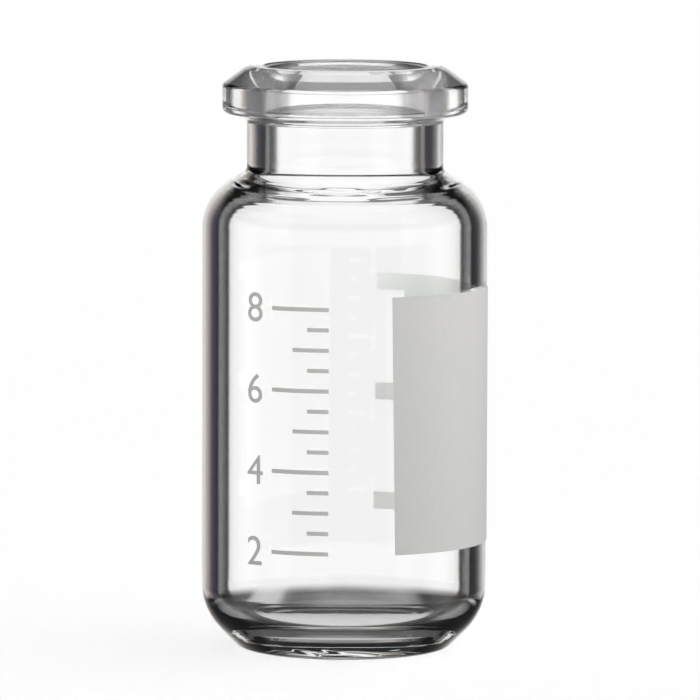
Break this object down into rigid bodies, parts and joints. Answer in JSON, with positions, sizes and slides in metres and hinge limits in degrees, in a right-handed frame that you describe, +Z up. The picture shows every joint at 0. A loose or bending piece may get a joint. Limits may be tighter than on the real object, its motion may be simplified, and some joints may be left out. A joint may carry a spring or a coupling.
{
  "type": "glass sample vial",
  "caption": "Clear glass crimp-top sample vial with bevelled flange, rounded shoulder, open bore and a white enamel writing patch and volume scale.",
  "frame": {"origin": "centre of the foot ring, on the surface the vial stands on", "axes": "+Z up along the vial's axis towards the mouth; -Y is the front, between the volume scale and the writing patch; +X is the side that the writing patch covers"},
  "size_m": [0.0226, 0.0226, 0.0461],
  "materials": {
    "clear_glass": "clear, fire-polished borosilicate glass",
    "white_enamel": "fired white enamel screen print, satin, slightly grainy"
  },
  "bodies": {
    "root": {"glass_vial": "clear_glass", "writing_patch": "white_enamel", "fill_marks": "white_enamel", "volume_scale": "white_enamel"}
  },
  "joints": []
}
